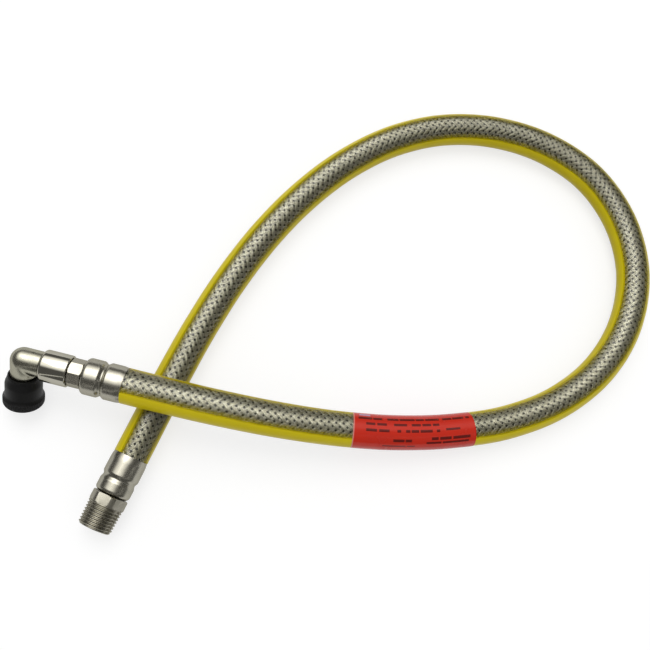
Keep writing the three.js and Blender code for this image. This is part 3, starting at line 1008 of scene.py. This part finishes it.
for vertex in cap.data.vertices:
    radius = math.hypot(vertex.co.x, vertex.co.y)
    column = round(math.atan2(vertex.co.y, vertex.co.x) / (2 * math.pi) * CAP_SIDES)
    height = vertex.co.z / MM
    ribbed = ease((height - CAP_BAND_LOW) / RIB_FADE) * ease((CAP_END - RIB_END - height) / RIB_END)
    if radius > CAP_BODY_RADIUS * MM and column % RIB_COLUMNS in (0, 1):
        press = 1 - RIB_DEPTH * MM / radius * ribbed
        vertex.co.x *= press
        vertex.co.y *= press
settle(cap, PLUG_FRAME, "cap", ["protective_cap"], CAP_SMOOTH)

# %% [markdown]
# The length of the hose
# The hose is flexible. Its length between the two ferrules is printed.

print("cord", round(float(HOSE_END - HOSE_START), 4), "m long")

# %% [markdown]
# Helpers for materials
# Every finish below is a network of nodes round one shader. It could be built by hand in the
# shader editor. In code these helpers keep the cells short: one adds a node and fills its inputs,
# and the others are nodes that many finishes use. The kind of every node starts with the same
# word, so the helper adds it.

# %% Write the material helpers
SLIGHT_DETAIL = 2.0


def new_finish(name):
    """A material with its tree and its shader."""
    finish = bpy.data.materials.new(name)
    finish.use_nodes = True
    return finish, finish.node_tree, finish.node_tree.nodes["Principled BSDF"]


def fill(tree, node, values):
    """Sets inputs, by name or number. A value is a number, a colour or another node's socket."""
    for key, value in values.items():
        if hasattr(value, "node"):
            tree.links.new(value, node.inputs[key])
        else:
            node.inputs[key].default_value = value


def add(tree, kind, values=None, **settings):
    """A node with its settings and its inputs."""
    node = tree.nodes.new("ShaderNode" + kind)
    for key, value in settings.items():
        setattr(node, key, value)
    fill(tree, node, values or {})
    return node


def math_node(tree, operation, first, second=0.0, clamp=False):
    return add(tree, "Math", {0: first, 1: second}, operation=operation, use_clamp=clamp).outputs[0]


def ramp_between(tree, value, low, high, start=0.0, end=1.0):
    """A value eased from start to end while the input goes from low to high."""
    limits = {"Value": value, "From Min": low, "From Max": high, "To Min": start, "To Max": end}
    return add(tree, "MapRange", limits, interpolation_type="SMOOTHSTEP").outputs[0]


def colour_mix(tree, share, first, second):
    return add(tree, "Mix", {0: share, 6: first, 7: second}, data_type="RGBA").outputs[2]


def noise(tree, place, scale, detail=SLIGHT_DETAIL):
    return add(tree, "TexNoise", {"Vector": place, "Scale": scale, "Detail": detail}).outputs[0]


def bump(tree, height, strength, distance):
    return add(tree, "Bump", {"Strength": strength, "Distance": distance, "Height": height}).outputs[0]


def dress(finish, *pieces):
    for piece in pieces:
        piece.data.materials.clear()
        piece.data.materials.append(finish)


# %% [markdown]
# Shared effects
# Grain and lathe marks appear on several metals, so each is a node group with named sockets.
# Grain is fine mottling in roughness and height. Lathe marks are thin lines round a turned
# piece, read from the height that was stored on its points.

# %% Build the shared effects
BROAD_SCALE = 130.0
GRAIN_DETAIL = 3.0
GRAIN_LOW = 0.2
GRAIN_HIGH = 0.8


def effect(name, inputs, outputs):
    """An empty node group with named value sockets."""
    tree = bpy.data.node_groups.new(name, "ShaderNodeTree")
    for label, value in inputs.items():
        socket = tree.interface.new_socket(label, in_out="INPUT", socket_type="NodeSocketFloat")
        socket.default_value = value
    for label in outputs:
        tree.interface.new_socket(label, in_out="OUTPUT", socket_type="NodeSocketFloat")
    return tree, tree.nodes.new("NodeGroupInput").outputs, tree.nodes.new("NodeGroupOutput")


def line_noise(tree, distance, scale, detail=SLIGHT_DETAIL):
    """Noise that changes along one distance only."""
    values = {"W": distance, "Scale": scale, "Detail": detail}
    return add(tree, "TexNoise", values, noise_dimensions="1D").outputs[0]


def object_place(tree):
    return add(tree, "TexCoord").outputs["Object"]


def use_effect(tree, group, **values):
    node = add(tree, "Group", node_tree=group)
    fill(tree, node, {label.replace("_", " "): value for label, value in values.items()})
    return node


grain, grain_in, grain_out = effect(
    "fine_grain",
    {"Scale": 900.0, "Low Roughness": 0.3, "High Roughness": 0.4},
    ("Roughness", "Height", "Mask"),
)
place = object_place(grain)
fine = noise(grain, place, grain_in["Scale"], GRAIN_DETAIL)
broad = noise(grain, place, BROAD_SCALE)
mottle = math_node(grain, "MULTIPLY", math_node(grain, "MULTIPLY", fine, broad), 2.0, clamp=True)
rough = add(grain, "MapRange", {
    "Value": mottle, "From Min": GRAIN_LOW, "From Max": GRAIN_HIGH,
    "To Min": grain_in["Low Roughness"], "To Max": grain_in["High Roughness"],
})
fill(grain, grain_out, {"Roughness": rough.outputs[0], "Height": fine, "Mask": broad})

lathe, lathe_in, lathe_out = effect("lathe_marks", {"Lines per Millimetre": 6.0}, ("Height",))
height = add(lathe, "Attribute", attribute_name="lathe_height").outputs["Fac"]
lines = line_noise(lathe, height, lathe_in["Lines per Millimetre"])
fill(lathe, lathe_out, {"Height": lines})
print("effects", grain.name, lathe.name)

# %% [markdown]
# Metals
# Stainless ferrules are satin, the elbow and tails are plated and a little grainy, and the
# collar is polished. One maker covers them, with a colour, a darker stain, a range of roughness
# and the depth of the marks as its values.

# %% Make the metals
EDGE_TINT = (0.62, 0.61, 0.56, 1)
MICRON = 0.001 * MM
STAIN_SPREAD = (0.42, 0.7, 0.0, 0.5)


def metal(name, colour, stain, roughness, lines, line_depth, grain_depth):
    """A metal with lathe marks and grain. Both depths are in thousandths of a millimetre."""
    finish, tree, shader = new_finish(name)
    speckle = use_effect(tree, grain, Low_Roughness=roughness[0], High_Roughness=roughness[1])
    marks = use_effect(tree, lathe, Lines_per_Millimetre=lines)
    share = ramp_between(tree, speckle.outputs["Mask"], *STAIN_SPREAD)
    heights = math_node(tree, "MULTIPLY", marks.outputs["Height"], line_depth * MICRON)
    grains = math_node(tree, "MULTIPLY", speckle.outputs["Height"], grain_depth * MICRON)
    fill(tree, shader, {
        "Metallic": 1.0,
        "Specular Tint": EDGE_TINT,
        "Base Color": colour_mix(tree, share, colour, stain),
        "Roughness": speckle.outputs["Roughness"],
        "Normal": bump(tree, math_node(tree, "ADD", heights, grains), 1.0, 1.0),
    })
    return finish


satin_steel = metal("satin_stainless", (0.36, 0.345, 0.29, 1), (0.29, 0.28, 0.23, 1), (0.22, 0.3), 5, 6, 4)
satin_nickel = metal("satin_nickel", (0.36, 0.35, 0.28, 1), (0.28, 0.27, 0.215, 1), (0.22, 0.34), 3, 3, 10)
cut_nickel = metal("cut_nickel", (0.33, 0.315, 0.265, 1), (0.25, 0.24, 0.19, 1), (0.24, 0.34), 8, 6, 6)
polished_nickel = metal(
    "polished_nickel_plate", (0.41, 0.395, 0.335, 1), (0.36, 0.35, 0.29, 1), (0.07, 0.11), 2, 1, 1,
)
dress(satin_steel, elbow_ferrule, thread_ferrule)
dress(satin_nickel, elbow, bpy.data.objects["bayonet_pin_one"], bpy.data.objects["bayonet_pin_two"])
dress(cut_nickel, hexagon, octagon, thread, thread_barb, spigot)
dress(polished_nickel, collar)
print("metals on", len(satin_steel.node_tree.nodes), "nodes each")

# %% [markdown]
# Braided wire
# Drawn steel wire is bright on its crest, and the valley beside it is painted dark as shade. The UV map
# runs across each plait, so a wave on it marks the crests. Slow noise along the wire dulls some of it.

# %% Make the wire
WIRE_BRIGHT = (0.48, 0.47, 0.41, 1)
WIRE_DULL = (0.34, 0.325, 0.26, 1)
# Painted shade: the dark colour of the valleys between the wires.
WIRE_VALLEY_SHADE = (0.07, 0.063, 0.035, 1)
WIRE_STRETCH = 160.0
WIRE_DULLING = (0.35, 0.7)
CREST_WIDTH = (-0.8, 0.7)
WIRE_ROUGHNESS = (0.3, 0.75, 0.36, 0.52)


def wrap_places(tree):
    """The two values of the UV map: across or round a piece, and along the hose."""
    parts = add(tree, "SeparateXYZ", {0: add(tree, "UVMap", uv_map="wrap").outputs[0]})
    return parts.outputs[0], parts.outputs[1]


def streaks(tree, across, along_hose, stretch, scale, detail):
    """Noise drawn out along the hose."""
    place = add(tree, "CombineXYZ", {0: across, 1: math_node(tree, "MULTIPLY", along_hose, stretch)})
    return noise(tree, place.outputs[0], scale, detail)


wire, tree, shader = new_finish("drawn_wire")
across, along_hose = wrap_places(tree)
wave = math_node(tree, "MULTIPLY", math_node(tree, "FRACT", across), 2 * math.pi * WIRES)
crest = math_node(tree, "MULTIPLY", math_node(tree, "COSINE", wave), -1.0)
wire_number = math_node(tree, "FLOOR", math_node(tree, "MULTIPLY", across, float(WIRES)))
dull = streaks(tree, wire_number, along_hose, WIRE_STRETCH, 1.0, SLIGHT_DETAIL)
bright = colour_mix(tree, ramp_between(tree, dull, *WIRE_DULLING), WIRE_BRIGHT, WIRE_DULL)
# The base colour goes dark in the valleys between the wires, as painted shade.
fill(tree, shader, {
    "Metallic": 0.8,
    "Base Color": colour_mix(tree, ramp_between(tree, crest, *CREST_WIDTH), WIRE_VALLEY_SHADE, bright),
    "Roughness": ramp_between(tree, dull, *WIRE_ROUGHNESS),
})
dress(wire, right_braid, left_braid)
print("wire", len(tree.nodes), "nodes")

# %% [markdown]
# Clear sheath
# The sheath is soft clear plastic with a faint yellow tint and a glossy, slightly waxy skin.
# Glass in a render blocks lamps, so for shadow rays it is mixed with a transparent shader.

# %% Make the clear plastic
CLEAR_TINT = (0.93, 0.93, 0.80, 1)
SHADOW_TINT = (0.95, 0.95, 0.88, 1)
CLEAR_BEND = 1.36
SKIN_SCALE = 220.0
HAZE_SCALE = 60.0
SKIN_DEPTH = 0.2 * MM
CLEAR_ROUGHNESS = (0.3, 0.7, 0.03, 0.06)


def show(tree, surface):
    """Makes a shader the surface of the material."""
    fill(tree, tree.nodes["Material Output"], {"Surface": surface})


clear, tree, shader = new_finish("clear_plastic")
place = object_place(tree)
fill(tree, shader, {
    "Base Color": CLEAR_TINT,
    "Transmission Weight": 1.0,
    "IOR": CLEAR_BEND,
    "Roughness": ramp_between(tree, noise(tree, place, HAZE_SCALE), *CLEAR_ROUGHNESS),
    "Normal": bump(tree, noise(tree, place, SKIN_SCALE, 1.0), 0.15, SKIN_DEPTH),
})
see_through = add(tree, "BsdfTransparent", {0: SHADOW_TINT})
shadow = add(tree, "LightPath").outputs["Is Shadow Ray"]
mixed = add(tree, "MixShader", {0: shadow, 1: shader.outputs[0], 2: see_through.outputs[0]})
show(tree, mixed.outputs[0])
dress(clear, sheath)
print("clear plastic", len(tree.nodes), "nodes")

# %% [markdown]
# Yellow stripes
# The stripes are dyed plastic in the wall. They are full in the middle and thin out at their
# edges, where the wires show through, so alpha follows the UV map across the strip.

# %% Make the yellow plastic
YELLOW_FULL = (0.74, 0.61, 0.003, 1)
YELLOW_DEEP = (0.62, 0.50, 0.003, 1)
YELLOW_STRETCH = 30.0
FRINGE_ALPHA = 0.24
BODY_EDGE = (0.60, 0.67, 1.0, 0.0)
FRINGE_EDGE = (0.64, 1.0, FRINGE_ALPHA, 0.0)
YELLOW_ROUGHNESS = (0.3, 0.7, 0.3, 0.42)

yellow, tree, shader = new_finish("yellow_plastic")
across, along_hose = wrap_places(tree)
edge = math_node(tree, "ABSOLUTE", across)
streak = streaks(tree, across, along_hose, YELLOW_STRETCH, 2.0, 3.0)
body = ramp_between(tree, edge, *BODY_EDGE)
fringe = ramp_between(tree, edge, *FRINGE_EDGE)
fill(tree, shader, {
    "Base Color": colour_mix(tree, streak, YELLOW_FULL, YELLOW_DEEP),
    "Specular IOR Level": 0.2,
    "Alpha": math_node(tree, "MAXIMUM", body, fringe),
    "Roughness": ramp_between(tree, streak, *YELLOW_ROUGHNESS),
})
dress(yellow, outer_stripe, inner_stripe)
print("yellow plastic", len(tree.nodes), "nodes")

# %% [markdown]
# Rubber, cap and washer
# The liner and the seal rings are black rubber with a fine uneven skin. The cap is black plastic
# with a matt grain, and the washer a plain white one. Each could have a network of its own, but
# only their colours and the size of the grain differ, so one maker covers all three.

# %% Make the rubber and the plastics
RUBBER_COLOURS = ((0.03, 0.03, 0.022, 1), (0.055, 0.053, 0.04, 1))
CAP_COLOURS = ((0.004, 0.004, 0.004, 1), (0.008, 0.008, 0.008, 1))
WASHER_COLOURS = ((0.80, 0.79, 0.74, 1), (0.74, 0.73, 0.68, 1))
RUBBER_SHINE = 0.5
PLASTIC_SHINE = 0.18
RUBBER_GRAIN = 1500.0
PLASTIC_GRAIN = 1200.0


def grained(name, colours, roughness, scale, strength, depth, shine):
    """A material with two colours and a grain that shows in its colour, roughness and skin."""
    finish, tree, shader = new_finish(name)
    speckle = use_effect(tree, grain, Scale=scale, Low_Roughness=roughness[0], High_Roughness=roughness[1])
    fill(tree, shader, {
        "Base Color": colour_mix(tree, speckle.outputs["Mask"], *colours),
        "Roughness": speckle.outputs["Roughness"],
        "Normal": bump(tree, speckle.outputs["Height"], strength, depth * MM),
        "Specular IOR Level": shine,
    })
    return finish


rubber = grained("black_rubber_skin", RUBBER_COLOURS, (0.6, 0.8), RUBBER_GRAIN, 0.5, 0.1, RUBBER_SHINE)
black_plastic = grained(
    "black_cap_plastic", CAP_COLOURS, (0.42, 0.55), PLASTIC_GRAIN, 0.6, 0.08, PLASTIC_SHINE,
)
white_plastic = grained(
    "white_washer_plastic", WASHER_COLOURS, (0.4, 0.5), PLASTIC_GRAIN, 0.6, 0.04, PLASTIC_SHINE,
)
dress(rubber, liner, bpy.data.objects["seal_ring_near"], bpy.data.objects["seal_ring_far"])
dress(black_plastic, cap)
dress(white_plastic, washer)
print("rubber and plastics", rubber.name, black_plastic.name, white_plastic.name)

# %% [markdown]
# The red film
# The film is glossy red with rows of plain dark bars. A small effect draws one row: a band
# across the film, cut into lengths along it. Its places are shares of the film's two sides.

# %% Make the film
FILM_RED = (0.66, 0.030, 0.012, 1)
FILM_DEEP = (0.54, 0.020, 0.008, 1)
BAR_COLOUR = (0.05, 0.006, 0.005, 1)
PATCH_COLOUR = (0.42, 0.40, 0.62, 1)
RIM_COLOUR = (0.80, 0.45, 0.38, 1)
FILM_SCALE = 90.0
FILM_ROUGHNESS = (0.3, 0.7, 0.16, 0.28)
RIM_EDGE = (0.004, 0.012, 1.0, 0.0)
UNEVEN_SCALE = 0.8
ROW_SHAPE = ("Centre", "Half Height", "Start", "End", "Period", "Share")
BAR_ROWS = (
    (0.362, 0.0130, 0.04, 0.97, 0.11, 0.88),
    (0.305, 0.0120, 0.10, 0.44, 0.13, 0.84),
    (0.305, 0.0120, 0.47, 0.70, 0.12, 0.84),
    (0.248, 0.0125, 0.10, 0.38, 0.14, 0.84),
    (0.248, 0.0125, 0.42, 0.70, 0.10, 0.84),
    (0.258, 0.0100, 0.75, 0.87, 0.20, 0.95),
    (0.160, 0.0140, 0.32, 0.47, 0.09, 0.86),
    (0.178, 0.0140, 0.63, 0.95, 0.15, 0.88),
    (0.136, 0.0110, 0.59, 0.94, 0.21, 0.94),
    (0.100, 0.0070, 0.24, 0.50, 0.30, 0.95),
)
PATCH_ROW = (0.41, 0.014, 0.05, 0.14, 1.0, 1.0)

bars, bars_in, bars_out = effect(
    "row_of_bars", {label: 0.0 for label in ("Across", "Along") + ROW_SHAPE}, ("Mask",),
)
offset = math_node(bars, "SUBTRACT", bars_in["Across"], bars_in["Centre"])
near = math_node(bars, "LESS_THAN", math_node(bars, "ABSOLUTE", offset), bars_in["Half Height"])
after = math_node(bars, "GREATER_THAN", bars_in["Along"], bars_in["Start"])
before = math_node(bars, "LESS_THAN", bars_in["Along"], bars_in["End"])
cell = math_node(bars, "DIVIDE", bars_in["Along"], bars_in["Period"])
uneven = line_noise(bars, cell, UNEVEN_SCALE, 0.0)
cell = math_node(bars, "FRACT", math_node(bars, "ADD", cell, uneven))
mask = math_node(bars, "LESS_THAN", cell, bars_in["Share"])
for limit in (before, after, near):
    mask = math_node(bars, "MULTIPLY", mask, limit)
fill(bars, bars_out, {"Mask": mask})

film, tree, shader = new_finish("red_label_film")
across, along_hose = wrap_places(tree)


def row_of_bars(shape):
    """The mask of one row, from the six numbers of its shape."""
    row = use_effect(tree, bars, Across=across, Along=along_hose)
    fill(tree, row, dict(zip(ROW_SHAPE, shape)))
    return row.outputs[0]


printed = 0.0
for shape in BAR_ROWS:
    printed = math_node(tree, "MAXIMUM", printed, row_of_bars(shape))
film_noise = noise(tree, object_place(tree), FILM_SCALE)
film_colour = colour_mix(tree, film_noise, FILM_RED, FILM_DEEP)
rim = ramp_between(tree, along_hose, *RIM_EDGE)
for mark, share, colour in (
    (printed, 0.85, BAR_COLOUR),
    (row_of_bars(PATCH_ROW), 0.7, PATCH_COLOUR),
    (rim, 0.6, RIM_COLOUR),
):
    film_colour = colour_mix(tree, math_node(tree, "MULTIPLY", mark, share), film_colour, colour)
fill(tree, shader, {
    "Base Color": film_colour,
    "Specular IOR Level": 0.25,
    "Roughness": ramp_between(tree, film_noise, *FILM_ROUGHNESS),
})
dress(film, label)
print("film", len(tree.nodes), "nodes")

# %% [markdown]
# The floor and the studio
# The hose lies on a plain white floor. The floor takes light and shadow as a grey surface, and
# a glow for camera, glossy and transmission rays lifts it to white.

# %% Lay the floor
FLOOR_SIZE = 6
FLOOR_GLOW = 0.7
FLOOR_GREY = (0.38, 0.38, 0.38, 1)
WORLD_SEEN = 1.0
WORLD_LIGHT = 0.6


def seen_rays(tree):
    """One for rays from the camera, off shiny skins and through the sheath, and zero for others."""
    path = add(tree, "LightPath").outputs
    seen = math_node(tree, "ADD", path["Is Camera Ray"], path["Is Glossy Ray"])
    return math_node(tree, "ADD", seen, path["Is Transmission Ray"], clamp=True)


bpy.ops.object.select_all(action="DESELECT")
bpy.ops.mesh.primitive_plane_add(size=FLOOR_SIZE, location=(0, 0, 0))
floor = bpy.context.object
floor.name = "white_floor"
floor_paint, tree, shader = new_finish("floor_paint")
fill(tree, shader, {"Base Color": FLOOR_GREY, "Roughness": 0.9, "Specular IOR Level": 0.0})
glow = add(tree, "Emission", {"Strength": math_node(tree, "MULTIPLY", seen_rays(tree), FLOOR_GLOW)})
show(tree, add(tree, "AddShader", {0: shader.outputs[0], 1: glow.outputs[0]}).outputs[0])
dress(floor_paint, floor)

world = bpy.data.worlds.new("studio")
bpy.context.scene.world = world
world.use_nodes = True
tree = world.node_tree
strength = add(tree, "MapRange", {"Value": seen_rays(tree), "To Min": WORLD_LIGHT, "To Max": WORLD_SEEN})
fill(tree, tree.nodes["Background"], {"Color": (1, 1, 1, 1), "Strength": strength.outputs[0]})
print("floor and world ready")

# %% [markdown]
# Lamps and the studio tent
# One large soft lamp stands beyond the upper edge of the picture. Polished metal shows the room
# round it, so a tent stands round the hose: pale on the lamp's side, dark elsewhere, with one
# narrow strip of light on the side away from the lamp. Only reflections show the tent, which
# gives the fittings their bright and dark bands.

# %% Set the lamp and the tent
KEY_WATTS = 10.5
KEY_SIZE = 1.2
KEY_DISTANCE = 1.8
KEY_DIRECTION = (towards_camera * 0.79 + PICTURE_UP * 0.61 - PICTURE_RIGHT * 0.03).normalized()
STRIP_SIDE = PICTURE_RIGHT * 0.26 - PICTURE_UP * 0.965
STRIP_PLACE = 0.505
TENT_RADIUS = 2.6
TENT_BRIGHT = 2.1
TENT_DARK = 0.15
TENT_STRIP = 1.2
TENT_COLOUR = (1.0, 0.99, 0.97, 1)
LAMP_SPREAD = (0.68, 0.91, 0.0, TENT_BRIGHT)
STRIP_EDGE = (0.015, 0.03, TENT_STRIP, 0.0)

lamp_data = bpy.data.lights.new("key_lamp", "AREA")
lamp_data.shape = "SQUARE"
lamp_data.size = KEY_SIZE
lamp_data.energy = KEY_WATTS
lamp = bpy.data.objects.new("key_lamp", lamp_data)
bpy.context.scene.collection.objects.link(lamp)
lamp_turn = KEY_DIRECTION.to_track_quat("Z", "Y").to_matrix().to_4x4()
lamp.matrix_world = Matrix.Translation(KEY_DIRECTION * KEY_DISTANCE) @ lamp_turn

bpy.ops.object.select_all(action="DESELECT")
bpy.ops.mesh.primitive_uv_sphere_add(segments=48, ring_count=24, radius=TENT_RADIUS, location=(0, 0, 0))
tent = bpy.context.object
tent.name = "studio_tent"
tent.visible_camera = False
tent.visible_diffuse = False
tent.visible_shadow = False
cloth, tree, shader = new_finish("tent_cloth")
way = add(tree, "VectorMath", {0: object_place(tree)}, operation="NORMALIZE").outputs[0]
facing = [
    add(tree, "VectorMath", {0: way, 1: tuple(side)}, operation="DOT_PRODUCT").outputs["Value"]
    for side in (KEY_DIRECTION, STRIP_SIDE)
]
lamp_side = ramp_between(tree, facing[0], *LAMP_SPREAD)
strip = math_node(tree, "ABSOLUTE", math_node(tree, "SUBTRACT", facing[1], STRIP_PLACE))
strip = ramp_between(tree, strip, *STRIP_EDGE)
light = math_node(tree, "ADD", lamp_side, math_node(tree, "MAXIMUM", strip, TENT_DARK))
show(tree, add(tree, "Emission", {"Color": TENT_COLOUR, "Strength": light}).outputs[0])
dress(cloth, tent)
bpy.context.scene.view_settings.view_transform = "Standard"
print("lamp and tent set")
